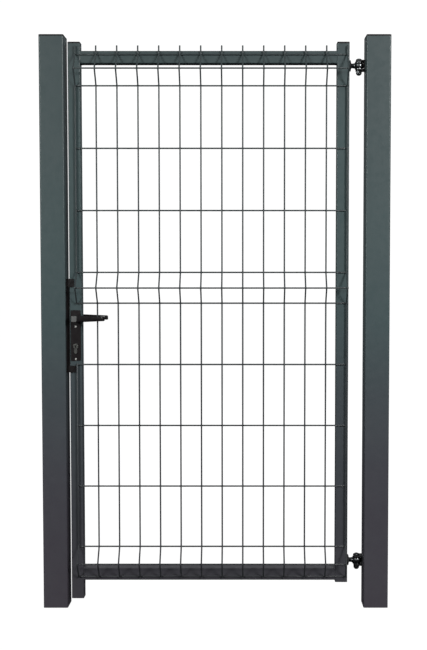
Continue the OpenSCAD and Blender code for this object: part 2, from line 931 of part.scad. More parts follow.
module lever_caps() {
  color("LightGray")
    for (s = [-1, 1])
      mirror([0, s > 0 ? 1 : 0, 0]) {
        translate([lock_x, -lever_y - seat, lever_z])
          rotate([90, 0, 0])
            linear_extrude(height = 1.4)
              soft_rect(neck_w - 0.4, neck_h - 0.4, 1);
        bar_y(lock_x, lever_z, -lever_y - seat - 0.5, -lever_y + 4.5, 6);
      }
}

module spindle() {
  y = lever_y - 12;
  color("Silver")
    block(
      lock_x - spindle_w / 2, lock_x + spindle_w / 2, -y, y,
      lever_z - spindle_w / 2, lever_z + spindle_w / 2
    );
}

// follower in the lock case; its arm pulls the latch back
module follower() {
  inner = case_w / 2 - case_wall - 0.5;
  color("Silver")
    difference() {
      union() {
        bar_y(lock_x, lever_z, -inner, inner, 20);
        bar_y(lock_x, lever_z, -case_w / 2 + 0.1, case_w / 2 - 0.1, journal_d);
        block(lock_x - 2.5, lock_x + 2.5, -3, 3, lever_z + 6, lever_z + arm_tip);
      }
      block(
        lock_x - spindle_w / 2 - slide_fit, lock_x + spindle_w / 2 + slide_fit, -case_w, case_w,
        lever_z - spindle_w / 2 - slide_fit, lever_z + spindle_w / 2 + slide_fit
      );
    }
}

module lever_grub_screws() {
  z0 = lever_z - neck_h / 2 + 0.2;
  z1 = lever_z - spindle_w / 2 - 0.15;
  color("Silver")
    for (s = [-1, 1])
      translate([lock_x, s * (neck_y + 12), z0])
        difference() {
          cylinder(d = 5, h = z1 - z0);
          translate([0, 0, -1])
            cylinder(d = 2.8, h = 3, $fn = 6);
        }
}

// sprung latch: bevelled head and a tail with an open notch for the follower
module latch_bolt() {
  half = latch_w / 2;
  back = leaf_x0 + 5;
  color("Silver") {
    translate([0, 0, latch_z - latch_h / 2])
      linear_extrude(height = latch_h)
        polygon([
          [back, -half],
          [face_x + 0.5, -half],
          [latch_tip, half - 2.5],
          [latch_tip, half],
          [back, half]
        ]);
    difference() {
      block(back - 1, lock_x + 5, -2, 2, tail_z0, tail_z1);
      block(lock_x - 4.8, lock_x + 3, -3, 3, tail_z0 - 1, notch_z);
    }
  }
}

// key barrel through the lock cylinder, with its cam in the middle
module cylinder_plug() {
  y = plate_y1 + cyl_proud;
  color("DarkGray")
    difference() {
      union() {
        bar_y(lock_x, cyl_z, -y, y, plug_d);
        bar_y(lock_x, cyl_z, -4.7, 4.7, cyl_d);
        block(lock_x - 4, lock_x + 4, -4.7, 4.7, cyl_z - cam_r + 0.6, cyl_z);
      }
      for (s = [-1, 1])
        translate([lock_x, s * y, cyl_z - 1.5])
          cube([2.6, 36, 8], center = true);
    }
}

// sliding dead bolt and the tail the cam throws
module dead_bolt() {
  color("Silver") {
    block(
      face_x + 0.5, lock_x + 8, -bolt_w / 2, bolt_w / 2,
      bolt_z - bolt_h / 2, bolt_z + bolt_h / 2
    );
    block(lock_x - 1, lock_x + 8, -2, 2, bolt_z - bolt_h / 2 - 12, bolt_z);
  }
}

lock_post();
hinge_post();
lock_post_cap();
hinge_post_cap();
keep_body();
keep_top_stop();
keep_bottom_stop();
stop_buffers();
keep_screws();
top_hinge_bracket();
bottom_hinge_bracket();
hinge_pins();
hinge_nuts();
hinge_washers();
lock_stile();
hinge_stile();
top_rail();
bottom_rail();
lock_stile_cap();
hinge_stile_cap();
top_eye_bolt();
bottom_eye_bolt();
hinge_collars();
hinge_inserts();
hinge_bushes();
for (i = [1:upright_count])
  upright_wire(i);
cross_wires();
lock_case();
lock_faceplate();
faceplate_screws();
front_plate();
back_plate();
plate_screws();
cylinder_body();
cylinder_screw();
lever_bushes();
latch_spring();
front_lever();
back_lever();
lever_caps();
spindle();
follower();
lever_grub_screws();
latch_bolt();
cylinder_plug();
dead_bolt();
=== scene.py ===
import json
import math

import bmesh
import bpy
from mathutils import Matrix, Vector


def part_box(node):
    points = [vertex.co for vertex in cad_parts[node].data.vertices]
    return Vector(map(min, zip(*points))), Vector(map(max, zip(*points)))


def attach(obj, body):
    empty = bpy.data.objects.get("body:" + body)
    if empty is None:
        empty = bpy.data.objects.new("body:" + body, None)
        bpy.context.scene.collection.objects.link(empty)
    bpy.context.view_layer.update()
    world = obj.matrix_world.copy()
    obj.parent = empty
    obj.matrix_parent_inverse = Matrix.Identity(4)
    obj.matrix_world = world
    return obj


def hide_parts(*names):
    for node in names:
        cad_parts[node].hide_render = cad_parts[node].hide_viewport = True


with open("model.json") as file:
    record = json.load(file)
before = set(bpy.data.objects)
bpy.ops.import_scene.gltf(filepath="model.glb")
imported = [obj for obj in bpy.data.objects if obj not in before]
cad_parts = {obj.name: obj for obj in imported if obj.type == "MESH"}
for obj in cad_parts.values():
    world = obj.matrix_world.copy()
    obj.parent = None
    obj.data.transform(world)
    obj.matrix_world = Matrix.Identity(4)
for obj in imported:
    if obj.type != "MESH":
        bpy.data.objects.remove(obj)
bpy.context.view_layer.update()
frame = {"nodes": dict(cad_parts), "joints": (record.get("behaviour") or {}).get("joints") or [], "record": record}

MM = 0.001
nodes = frame["nodes"]
joints = {j["name"]: j for j in frame["joints"]}
body_of_node = {n: b for b, ns in frame["record"]["behaviour"]["bodies"].items() for n in ns}
slot_of_node = {s["node"]: s["material_slot"] for s in frame["record"]["subparts"]}


def mm_box(node):
    """Lowest and highest corner of a CAD node, in millimetres."""
    lo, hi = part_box(node)
    return lo / MM, hi / MM


def mm_middle(node):
    lo, hi = mm_box(node)
    return (lo + hi) / 2


# ---------------------------------------------------------------- materials

COAT_TOP = 1.9          # height in metres at which the coats' colour ramps, their painted light and shade by height, end
CLOUD_GREY = (96, 104, 106)
SPECK_GREY = (122, 132, 134)
DUST_AND_TOP_LIGHT_GREY = (178, 178, 172)
WHITE = (1, 1, 1, 1)


def srgb(r, g, b):
    """Linear colour of an 8-bit sRGB one."""
    def lin(c):
        c /= 255
        return c / 12.92 if c <= 0.04045 else ((c + 0.055) / 1.055) ** 2.4
    return lin(r), lin(g), lin(b), 1.0


def add_node(tree, kind, **values):
    """A new node; each value goes to the input of that name, with _ for a space, or else to the attribute."""
    n = tree.nodes.new(kind)
    for key, v in values.items():
        socket = key.replace("_", " ")
        if socket in n.inputs:
            n.inputs[socket].default_value = v
        else:
            setattr(n, key, v)
    return n


class Mat:
    """A node material with object coordinates, so its grain is the same size on every piece."""

    def __init__(self, name):
        self.mat = bpy.data.materials.new(name)
        self.mat.use_nodes = True
        self.tree = self.mat.node_tree
        self.bsdf = self.tree.nodes["Principled BSDF"]
        self.coord = self.tree.nodes.new("ShaderNodeTexCoord").outputs["Object"]

    def node(self, kind, **values):
        return add_node(self.tree, kind, **values)

    def feed(self, socket, value):
        """Gives a socket a plain value, or links another node's output to it."""
        if isinstance(value, bpy.types.NodeSocket):
            self.tree.links.new(value, socket)
        else:
            socket.default_value = value

    def noise(self, scale, detail=3.0, rough=0.55, stretch=None):
        """Noise between about 0.3 and 0.7; scale is in lumps per metre."""
        n = self.node("ShaderNodeTexNoise", Scale=scale, Detail=detail, Roughness=rough)
        place = self.coord
        if stretch:
            m = self.node("ShaderNodeMapping", Scale=stretch)
            self.feed(m.inputs["Vector"], self.coord)
            place = m.outputs["Vector"]
        self.feed(n.inputs["Vector"], place)
        return n.outputs["Fac"]

    def ramp(self, fac, stops):
        r = self.node("ShaderNodeValToRGB")
        elements = r.color_ramp.elements
        while len(elements) < len(stops):
            elements.new(0.5)
        for e, (pos, col) in zip(elements, stops):
            e.position = pos
            e.color = col
        self.feed(r.inputs["Fac"], fac)
        return r.outputs["Color"]

    def remap(self, fac, lo, hi, from_lo=0.3, from_hi=0.7):
        m = self.node("ShaderNodeMapRange", From_Min=from_lo, From_Max=from_hi, To_Min=lo, To_Max=hi)
        self.feed(m.inputs["Value"], fac)
        return m.outputs["Result"]

    def mix(self, fac, a, b):
        m = self.node("ShaderNodeMix", data_type="RGBA")
        for index, v in ((0, fac), (6, a), (7, b)):
            self.feed(m.inputs[index], v)
        return m.outputs[2]

    def times(self, a, b):
        m = self.node("ShaderNodeMath", operation="MULTIPLY")
        self.feed(m.inputs[0], a)
        self.feed(m.inputs[1], b)
        return m.outputs[0]

    def z_of(self, vector):
        s = self.node("ShaderNodeSeparateXYZ")
        self.feed(s.inputs[0], vector)
        return s.outputs["Z"]

    def geometry(self, output):
        return self.node("ShaderNodeNewGeometry").outputs[output]

    def finish(self, colour, rough, *bumps, **values):
        """Feeds the shader; each bump is (height, strength, distance in metres)."""
        self.feed(self.bsdf.inputs["Base Color"], colour)
        self.feed(self.bsdf.inputs["Roughness"], rough)
        normal = None
        for height, strength, distance in bumps:
            b = self.node("ShaderNodeBump", Strength=strength, Distance=distance)
            self.feed(b.inputs["Height"], height)
            if normal is not None:
                self.feed(b.inputs["Normal"], normal)
            normal = b.outputs["Normal"]
        self.feed(self.bsdf.inputs["Normal"], normal)
        for key, v in values.items():
            self.bsdf.inputs[key.replace("_", " ")].default_value = v
        return self.mat


def powder_coat(name, stops, rough=(0.3, 0.42), peel=1.0):
    """Powder coat with painted light and shade by height, clouds, specks, dust and a painted top light on what
    faces up, and orange peel.

    stops are (height in metres, 8-bit colour); their change with height is painted shade and painted reflection."""
    m = Mat(name)
    # painted light: the base colour follows height, painted shade low down and a painted teal reflection higher up
    height = m.remap(m.z_of(m.coord), 0.0, 1.0, from_lo=0.0, from_hi=COAT_TOP)
    base = m.ramp(height, [(z / COAT_TOP, srgb(*c)) for z, c in stops])
    cloud = m.remap(m.noise(2.3, detail=4.0, rough=0.6), 0.0, 0.22)
    base = m.mix(cloud, base, srgb(*CLOUD_GREY))
    speck = m.remap(m.noise(1500.0, detail=2.0), 0.0, 1.0, from_lo=0.52, from_hi=0.74)
    base = m.mix(m.times(speck, 0.22), base, srgb(*SPECK_GREY))
    # lighter on faces that point up: part dust, part a painted top light as if lit from above
    faces_up = m.remap(m.z_of(m.geometry("Normal")), 0.0, 0.04, from_lo=0.35, from_hi=0.95)
    patches = m.remap(m.noise(38.0, detail=5.0, rough=0.7), 0.35, 1.0)
    base = m.mix(m.times(faces_up, patches), base, srgb(*DUST_AND_TOP_LIGHT_GREY))
    return m.finish(
        base,
        m.remap(m.noise(60.0, detail=4.0), *rough),
        (m.noise(820.0, detail=2.0, rough=0.5), 0.16 * peel, 0.00022),
        (m.noise(190.0, detail=2.0, rough=0.5), 0.10 * peel, 0.00035),
        Specular_IOR_Level=0.5,
    )


def moulded_plastic(name, dark, light, rough=(0.42, 0.6), grain=1100.0):
    """Grained plastic with faint upright scuffs; grain is in lumps per metre."""
    m = Mat(name)
    base = m.mix(m.remap(m.noise(14.0, detail=4.0), 0.0, 0.6), srgb(*dark), srgb(*light))
    marks = m.noise(70.0, detail=6.0, rough=0.75, stretch=(1.0, 1.0, 0.3))
    scuff = m.remap(marks, 0.0, 0.35, from_lo=0.58, from_hi=0.78)
    base = m.mix(scuff, base, srgb(*[min(255, c + 38) for c in light]))
    return m.finish(
        base,
        m.remap(m.noise(45.0), *rough),
        (m.noise(grain, detail=2.0), 0.22, 0.00012),
        (m.noise(120.0, detail=2.0), 0.06, 0.0003),
    )


def black_coat(name, dark, light, edge, rough=(0.3, 0.45), wear=0.55):
    """Smooth black coat, worn to the edge colour in spots along its edges."""
    m = Mat(name)
    base = m.mix(m.remap(m.noise(9.0, detail=4.0), 0.0, 0.7), srgb(*dark), srgb(*light))
    edges = m.remap(m.geometry("Pointiness"), 0.0, 1.0, from_lo=0.53, from_hi=0.62)
    spots = m.remap(m.noise(240.0, detail=4.0, rough=0.7), 0.0, wear, from_lo=0.45, from_hi=0.7)
    base = m.mix(m.times(edges, spots), base, srgb(*edge))
    return m.finish(
        base,
        m.remap(m.noise(80.0, detail=4.0), *rough),
        (m.noise(900.0, detail=2.0), 0.12, 0.00015),
        (m.noise(160.0, detail=2.0), 0.06, 0.0003),
    )


def metal(name, dark, light, rough=(0.22, 0.4), stretch=None, grain=420.0):
    """Bare or plated metal; stretch draws its grain out along the axis with the small number."""
    m = Mat(name)
    patch = m.remap(m.noise(22.0, detail=5.0, rough=0.65), 0.0, 1.0)
    base = m.mix(patch, srgb(*dark), srgb(*light))
    streak = m.noise(grain, rough=0.6, stretch=stretch)
    base = m.mix(m.remap(streak, 0.0, 0.35), base, srgb(*[int(c * 0.72) for c in dark]))
    return m.finish(
        base,
        m.remap(streak, *rough),
        (streak, 0.18, 0.00012),
        (m.noise(90.0, detail=2.0), 0.05, 0.0003),
        Metallic=1.0,
    )


# (height in metres, colour) stops, painted light: darker and purplish towards the bottom as painted shade, teal
# and lighter higher up as a painted reflection
POST_STOPS = [
    (0.0, (80, 73, 82)), (0.45, (77, 76, 84)), (0.7, (77, 85, 90)), (0.95, (77, 95, 97)),
    (1.2, (79, 97, 98)), (1.55, (76, 92, 93)), (1.85, (74, 89, 90)),
]
LEAF_STOPS = [
    (0.0, (73, 68, 75)), (0.45, (70, 73, 79)), (0.7, (73, 81, 86)), (0.95, (73, 91, 93)),
    (1.2, (75, 94, 95)), (1.55, (75, 95, 96)), (1.85, (72, 86, 87)),
]
WIRE_STOPS = [
    (0.0, (58, 57, 61)), (0.7, (60, 64, 67)), (1.2, (61, 70, 72)), (1.85, (63, 73, 74)),
]

MATS = {
    "post_paint": powder_coat("post_powder_coat", POST_STOPS),
    "frame_paint": powder_coat("frame_powder_coat", LEAF_STOPS),
    "mesh_paint": powder_coat("mesh_powder_coat", WIRE_STOPS, rough=(0.32, 0.44), peel=0.8),
    "cap_plastic": moulded_plastic("cap_plastic", (11, 11, 12), (18, 18, 19)),
    "keep_paint": black_coat("keep_coat", (19, 14, 15), (24, 19, 20), (70, 66, 64), wear=0.3),
    "buffer_rubber": moulded_plastic(
        "buffer_rubber", (26, 26, 26), (36, 35, 34), rough=(0.7, 0.9), grain=700.0,
    ),
    "bracket_paint": black_coat("bracket_coat", (24, 24, 26), (34, 35, 37), (130, 128, 124)),
    "zinc": metal("zinc_plate", (104, 107, 109), (150, 153, 154), rough=(0.22, 0.38)),
    "white_nylon": moulded_plastic("white_nylon", (205, 205, 198), (226, 226, 220), rough=(0.35, 0.5)),
    "dark_nylon": moulded_plastic("dark_nylon", (40, 41, 43), (54, 55, 57), rough=(0.35, 0.5)),
    "stainless": metal(
        "brushed_stainless", (168, 168, 166), (205, 205, 202), rough=(0.2, 0.36),
        stretch=(1.0, 1.0, 0.04), grain=900.0,
    ),
    "case_zinc": metal("case_zinc", (140, 141, 138), (178, 179, 175), rough=(0.3, 0.5)),
    "plate_black": black_coat(
        "plate_coat", (22, 15, 17), (27, 20, 22), (84, 78, 74), rough=(0.3, 0.42), wear=0.25,
    ),
    "lever_black": black_coat(
        "lever_coat", (20, 17, 19), (26, 22, 25), (110, 104, 100), rough=(0.26, 0.38), wear=0.3,
    ),
    "cap_grey": moulded_plastic("cap_grey", (108, 109, 108), (124, 125, 124), rough=(0.35, 0.5)),
    "bright_screw": metal("bright_screw", (214, 213, 209), (236, 235, 231), rough=(0.4, 0.55)),
    "cylinder_nickel": metal(
        "satin_nickel", (150, 150, 146), (186, 186, 181), rough=(0.24, 0.4),
        stretch=(0.05, 1.0, 1.0), grain=800.0,
    ),
}


# ---------------------------------------------------------------- mesh tools

SMOOTH_BELOW = math.radians(38)     # edges that turn less than this are shaded smooth
# (way in from the end, cut off the radius) of the rings of a bar's rounded tip, as shares of the tip
TIP_STEPS = [(0.0, 1.0), (0.3, 0.3), (1.0, 0.0)]


def angles(seg):
    return [2 * math.pi * j / seg for j in range(seg)]


def turned_ring(r, z, seg):
    return [(r * math.cos(t), r * math.sin(t), z) for t in angles(seg)]


def ring_at(p, side, up, r, seg):
    """Ring round the point p, in the plane of the unit vectors side and up."""
    return [p + side * (r * math.cos(t)) + up * (r * math.sin(t)) for t in angles(seg)]


class Geo:
    """Points and faces in millimetres of the row frame, gathered into one piece."""

    def __init__(self):
        self.v, self.f = [], []

    def add(self, verts, faces, m=None):
        base = len(self.v)
        self.v += [(m @ Vector(p)) if m else Vector(p) for p in verts]
        self.f += [tuple(base + i for i in f) for f in faces]

    def loft(self, rings, m=None, closed=False):
        """Skin over equally long rings; closed joins the last to the first, else both are capped."""
        n, k = len(rings[0]), len(rings)
        verts = [p for ring in rings for p in ring]
        faces = []
        for i in range(k if closed else k - 1):
            a, b = i * n, ((i + 1) % k) * n
            faces += [(a + j, a + (j + 1) % n, b + (j + 1) % n, b + j) for j in range(n)]
        if not closed:
            for start, ring in ((0, rings[0]), ((k - 1) * n, rings[-1])):
                mid = sum((Vector(p) for p in ring), Vector()) / n
                verts.append(mid)
                faces += [(start + j, start + (j + 1) % n, len(verts) - 1) for j in range(n)]
        self.add(verts, faces, m)

    def lathe(self, profile, m=None, seg=48, closed=False):
        """profile is (radius, height) pairs turned about local Z; closed joins its last pair to its first."""
        self.loft([turned_ring(r, z, seg) for r, z in profile], m, closed)

    def sweep(self, path, radius, seg, closed=False, tip=0.0):
        """A round bar along path. radius(i) is its radius at the path's point i; tip rounds both ends off."""
        pts = [Vector(p) for p in path]
        n = len(pts)
        tangents = []
        for i in range(n):
            a = pts[i - 1] if i or closed else pts[0]
            b = pts[(i + 1) % n] if i < n - 1 or closed else pts[-1]
            tangents.append((b - a).normalized())
        side = tangents[0].orthogonal().normalized()
        rings = []
        for i, t in enumerate(tangents):
            side = (side - t * side.dot(t)).normalized()
            rings.append((pts[i], side.copy(), t.cross(side), radius(i)))
        if tip:
            p, s, u, r = rings[0]
            q, s_end, u_end, r_end = rings[-1]
            t, t_end = tangents[0], tangents[-1]
            head = [(p + t * tip * k, s, u, r - tip * c) for k, c in TIP_STEPS]
            tail = [(q - t_end * tip * k, s_end, u_end, r_end - tip * c) for k, c in reversed(TIP_STEPS)]
            rings = head + rings[1:-1] + tail
        self.loft([ring_at(p, s, u, r, seg) for p, s, u, r in rings], closed=closed)

    def blob(self, centre, radii, rings=5, seg=10):
        """Flattened ball; its poles are on its Y axis."""
        c = Vector(centre)
        out = []
        for i in range(1, rings):
            a = math.pi * i / rings
            out.append([
                c + Vector((
                    radii[0] * math.sin(a) * math.cos(t),
                    radii[1] * math.cos(a),
                    radii[2] * math.sin(a) * math.sin(t),
                ))
                for t in angles(seg)
            ])
        pole = Vector((0, radii[1], 0))
        verts = [p for r in out for p in r] + [c + pole, c - pole]
        faces = []
        for i in range(len(out) - 1):
            for j in range(seg):
                a, b = i * seg + j, i * seg + (j + 1) % seg
                faces.append((a, b, b + seg, a + seg))
        top, end = len(verts) - 2, (len(out) - 1) * seg
        faces += [(j, (j + 1) % seg, top) for j in range(seg)]
        faces += [(end + j, end + (j + 1) % seg, top + 1) for j in range(seg)]
        self.add(verts, faces)

    def piece(self, name, slot, body, replaces=()):
        mesh = bpy.data.meshes.new(name)
        mesh.from_pydata([p * MM for p in self.v], [], self.f)
        bm = bmesh.new()
        bm.from_mesh(mesh)
        bmesh.ops.recalc_face_normals(bm, faces=bm.faces)
        for f in bm.faces:
            f.smooth = True
        bm.to_mesh(mesh)
        bm.free()
        mesh.set_sharp_from_angle(angle=SMOOTH_BELOW)
        obj = bpy.data.objects.new(name, mesh)
        bpy.context.scene.collection.objects.link(obj)
        mesh.materials.append(MATS[slot])
        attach(obj, body)
        if replaces:
            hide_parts(*replaces)


def mirrored(lower, crown=()):
    """A ring's closed profile: its lower half, the crown between, and the lower half's mirror image."""
    return lower + list(crown) + [(r, -z) for r, z in reversed(lower)]


def rounded(hx, hy, r, seg=5):
    """Points of a rectangle with round corners, half sizes hx and hy."""
    out = []
    for sx, sy, start in ((1, 1, 0), (-1, 1, 90), (-1, -1, 180), (1, -1, 270)):
        for k in range(seg + 1):
            a = math.radians(start + 90 * k / seg)
            out.append((sx * (hx - r) + r * math.cos(a), sy * (hy - r) + r * math.sin(a)))
    return out


def fillet(points, radius, steps):
    """2D points with every inner corner rounded; steps is the number of segments per 90 degrees."""
    out = [Vector(points[0])]
    for i in range(1, len(points) - 1):
        a, p, b = (Vector(points[j]) for j in (i - 1, i, i + 1))
        u, w = (p - a).normalized(), (b - p).normalized()
        turn = math.atan2(u.x * w.y - u.y * w.x, u.dot(w))
        start = p - u * (radius * math.tan(abs(turn) / 2))
        side = 1 if turn > 0 else -1
        centre = start + side * radius * Vector((-u.y, u.x))
        d = start - centre
        k = max(3, round(steps * abs(turn) / (math.pi / 2)))
        for j in range(k + 1):
            c, s = math.cos(turn * j / k), math.sin(turn * j / k)
            out.append(centre + Vector((d.x * c - d.y * s, d.x * s + d.y * c)))
    out.append(Vector(points[-1]))
    return out


def at(x, y, z):
    return Matrix.Translation((x, y, z))


# these turn local Z to the axis that they name
ALONG_X = Matrix.Rotation(math.radians(90), 4, "Y")
ALONG_MINUS_Y = Matrix.Rotation(math.radians(90), 4, "X")
ALONG_PLUS_Y = ALONG_MINUS_Y.inverted()
UPSIDE_DOWN = Matrix.Rotation(math.pi, 4, "X")


# ---------------------------------------------------------------- CAD nodes that stay

LOOK_OF_NODE = {"plate_screws": "bright_screw"}     # brighter than its slot's other nodes
ALL_FACES_KEPT = {"keep_top_stop", "keep_bottom_stop"}  # merged faces would leave gaps in their bevels
EDGE_MM = {
    "post_paint": 0.5, "frame_paint": 0.35, "keep_paint": 0.6, "bracket_paint": 0.8,
    "stainless": 0.25, "plate_black": 0.7, "cylinder_nickel": 0.3, "case_zinc": 0.3,
    "zinc": 0.25, "buffer_rubber": 0.3, "dark_nylon": 0.25, "white_nylon": 0.3,
}


def dress_cad(name):
    """Gives a CAD node its material and softened edges; its own mesh is left as it is."""
    obj, slot = nodes[name], slot_of_node[name]
    obj.data.materials.clear()
    obj.data.materials.append(MATS[LOOK_OF_NODE.get(name, slot)])
    obj.data.polygons.foreach_set("use_smooth", [True] * len(obj.data.polygons))
    weld = obj.modifiers.new("join", "WELD")
    weld.merge_threshold = 0.01 * MM
    if name not in ALL_FACES_KEPT:
        flat = obj.modifiers.new("flat", "DECIMATE")
        flat.decimate_type = "DISSOLVE"
        flat.angle_limit = math.radians(1.0)
    bevel = obj.modifiers.new("edge", "BEVEL")
    bevel.width = EDGE_MM[slot] * MM
    bevel.segments = 2
    bevel.limit_method = "ANGLE"
    bevel.angle_limit = math.radians(40)
    normal = obj.modifiers.new("normal", "WEIGHTED_NORMAL")
    normal.keep_sharp = True


# ---------------------------------------------------------------- caps

CAP_H = 6.0             # height of every cap above its tube
PLUG_DEPTH = 14.0       # reach of the plug into the tube
PLUG_GAP = 0.4          # between the plug and the tube's wall
POST_R, POST_WALL = 5.0, 3.0
TUBE_HALF, TUBE_R, TUBE_WALL = 20.0, 3.0, 2.0


def tube_cap(tube, r, wall):
    """Plug-in cap with a crowned lid; r is the corner radius of its tube."""
    node = f"{tube}_cap"
    lo, hi = mm_box(node)
    middle, half = (lo + hi) / 2, (hi.x - lo.x) / 2
    plug = half - wall - PLUG_GAP
    top = hi.z
    foot = top - CAP_H
    # (half width, corner radius, height) of each ring, up the plug and over the lid
    rows = [
        (plug - 1.2, 1.5, foot - PLUG_DEPTH), (plug, 2.0, foot - PLUG_DEPTH + 1), (plug, 2.0, foot + 0.02),
        (half - 0.35, r - 0.3, foot + 0.02), (half, r, foot + 0.4), (half, r, top - 2.4),
        (half - 0.25, r - 0.1, top - 1.7), (half - 0.9, r - 0.4, top - 1.05),
        (half - 1.9, r - 0.9, top - 0.7), (half * 0.6, r * 0.5, top - 0.25),
        (half * 0.25, r * 0.25, top - 0.05), (1.2, 0.5, top),
    ]
    g = Geo()
    g.loft([[(x, y, z) for x, y in rounded(h, h, q)] for h, q, z in rows], at(middle.x, middle.y, 0))
    g.piece(f"cap_of_{tube}", "cap_plastic", body_of_node[node], (node,))


tube_cap("lock_post", POST_R, POST_WALL)
tube_cap("hinge_post", POST_R, POST_WALL)
tube_cap("lock_stile", TUBE_R, TUBE_WALL)
tube_cap("hinge_stile", TUBE_R, TUBE_WALL)


# ---------------------------------------------------------------- mesh wires

lock_stile_lo, lock_stile_hi = mm_box("lock_stile")
hinge_stile_lo, hinge_stile_hi = mm_box("hinge_stile")

WIRE_R = 2.5
WIRE_SIDES = 16
WIRE_TIP = 0.5
SEAT_GAP = 0.05         # between the stiles, the cross wires and the upright wires
WIRE_STEP = 2 * WIRE_R + SEAT_GAP
CROSS_Y = lock_stile_lo.y - SEAT_GAP - WIRE_R
UPRIGHT_Y = CROSS_Y - WIRE_STEP
FOLD_H, FOLD_D, BEND_R = 50, 40, 8.0
BEND_STEPS = 14         # segments per 90 degrees of a bend
APEX_Y = UPRIGHT_Y - FOLD_D + BEND_R * (math.hypot(1, FOLD_D / FOLD_H) - 1)
APEX_CROSS_Y = APEX_Y + WIRE_STEP

UPRIGHTS = 14
FIRST_X = lock_stile_lo.x + 24.65
LAST_X = hinge_stile_hi.x - 7.15
UPRIGHT_XS = [FIRST_X + (LAST_X - FIRST_X) * i / (UPRIGHTS - 1) for i in range(UPRIGHTS)]
CROSS_OVERHANG = 4.0    # cross wires past the outer upright wires
STUB = 3.5              # upright wires past a cross wire where they end
SPIKE = 27.5            # upright wires above the top cross wire

FOLD_ZS = [150, 1050, 1750]
CROSS_PITCH = 200
FLAT_ZS = []            # a cross wire at both ends of each fold, and every 200 mm between two folds
for fold, next_fold in zip(FOLD_ZS, FOLD_ZS[1:] + [None]):
    FLAT_ZS += [fold - FOLD_H, fold + FOLD_H]
    if next_fold:
        FLAT_ZS += range(fold + FOLD_H + CROSS_PITCH, next_fold - FOLD_H, CROSS_PITCH)
MESH_FOOT, MESH_TOP = FLAT_ZS[0] - STUB, FLAT_ZS[-1] + SPIKE
LOCK_CUT = (800 + STUB, 1000 - STUB)    # the first upright wire is left out here, behind the lock plate


def wire_radius(_i):
    return WIRE_R


def upright_wire(g, x, z0, z1, folds):
    pts = [(UPRIGHT_Y, z0)]
    for z in folds:
        pts += [(UPRIGHT_Y, z - FOLD_H), (UPRIGHT_Y - FOLD_D, z), (UPRIGHT_Y, z + FOLD_H)]
    pts.append((UPRIGHT_Y, z1))
    path = [(x, p.x, p.y) for p in fillet(pts, BEND_R, BEND_STEPS)]
    g.sweep(path, wire_radius, WIRE_SIDES, tip=WIRE_TIP)


for i, x in enumerate(UPRIGHT_XS, start=1):
    g = Geo()
    if i == 1:
        upright_wire(g, x, MESH_FOOT, LOCK_CUT[0], FOLD_ZS[:1])
        upright_wire(g, x, LOCK_CUT[1], MESH_TOP, FOLD_ZS[1:])
    else:
        upright_wire(g, x, MESH_FOOT, MESH_TOP, FOLD_ZS)
    node = f"upright_wire_{i}"
    g.piece(f"coated_{node}", "mesh_paint", body_of_node[node], (node,))

g = Geo()
ends = (FIRST_X - CROSS_OVERHANG, 0, LAST_X + CROSS_OVERHANG)
for zs, y in ((FLAT_ZS, CROSS_Y), (FOLD_ZS, APEX_CROSS_Y)):
    for z in zs:
        g.sweep([(x, y, z) for x in ends], wire_radius, WIRE_SIDES, tip=WIRE_TIP)
g.piece("coated_cross_wires", "mesh_paint", "leaf", ("cross_wires",))

# flattened resistance welds where the wires cross
FLAT_SPOT, FOLD_SPOT = (2.9, 1.15, 2.9), (2.9, 1.15, 2.6)
g = Geo()
for x in UPRIGHT_XS:
    for z in FLAT_ZS:
        g.blob((x, (UPRIGHT_Y + CROSS_Y) / 2, z), FLAT_SPOT)
    for z in FOLD_ZS:
        g.blob((x, (APEX_Y + APEX_CROSS_Y) / 2, z), FOLD_SPOT)
g.piece("mesh_weld_spots", "mesh_paint", "leaf")


# ---------------------------------------------------------------- welds on the frame

BEAD_STEP = 0.8                     # between two rings of a bead
BEAD_SIDES = 8
RIPPLE_SHARE, RIPPLE_PITCH = 0.14, 2.4
RAIL_BEAD_R, RAIL_BEAD_SUNK = 1.3, 0.4
BRACKET_BEAD_R, BRACKET_BEAD_SUNK, BRACKET_BEAD_PROUD = 1.1, 0.3, 0.2


def bead(g, loop, radius):
    """A rippled weld bead round a closed loop of points."""
    pts = [Vector(p) for p in loop]
    out = []
    for a, b in zip(pts, pts[1:] + pts[:1]):
        k = max(1, round((b - a).length / BEAD_STEP))
        out += [a.lerp(b, j / k) for j in range(k)]

    def rippled(i):
        return radius * (1 + RIPPLE_SHARE * math.sin(2 * math.pi * i * BEAD_STEP / RIPPLE_PITCH))

    g.sweep(out, rippled, BEAD_SIDES, closed=True)


g = Geo()
for rail in ("top_rail", "bottom_rail"):
    lo, hi = mm_box(rail)
    half = TUBE_HALF - RAIL_BEAD_SUNK
    for x in (lo.x + RAIL_BEAD_SUNK, hi.x - RAIL_BEAD_SUNK):
        outline = rounded(half, half, TUBE_R, 4)
        bead(g, [(x, y, (lo.z + hi.z) / 2 + z) for y, z in outline], RAIL_BEAD_R)
# short fillets above and below each cross wire where it sits on the stiles
for z in FLAT_ZS:
    for x, reach in ((lock_stile_hi.x - 11, 7.0), (hinge_stile_lo.x + 20, 9.0)):
        for s in (-1, 1):
            g.blob((x, lock_stile_lo.y - 0.2, z + s * 2.2), (reach, 0.9, 1.3), seg=12)
g.piece("frame_weld_seams", "frame_paint", "leaf")

g = Geo()
for node in ("top_hinge_bracket", "bottom_hinge_bracket"):
    lo, hi = mm_box(node)
    half_y = (hi.y - lo.y) / 2 + BRACKET_BEAD_PROUD
    half_z = (hi.z - lo.z) / 2 + BRACKET_BEAD_PROUD
    x = hi.x - BRACKET_BEAD_SUNK
    outline = rounded(half_y, half_z, 1.2, 3)
    bead(g, [(x, y, (lo.z + hi.z) / 2 + z) for y, z in outline], BRACKET_BEAD_R)
g.piece("bracket_weld_seams", "post_paint", "posts")


# ---------------------------------------------------------------- hinges

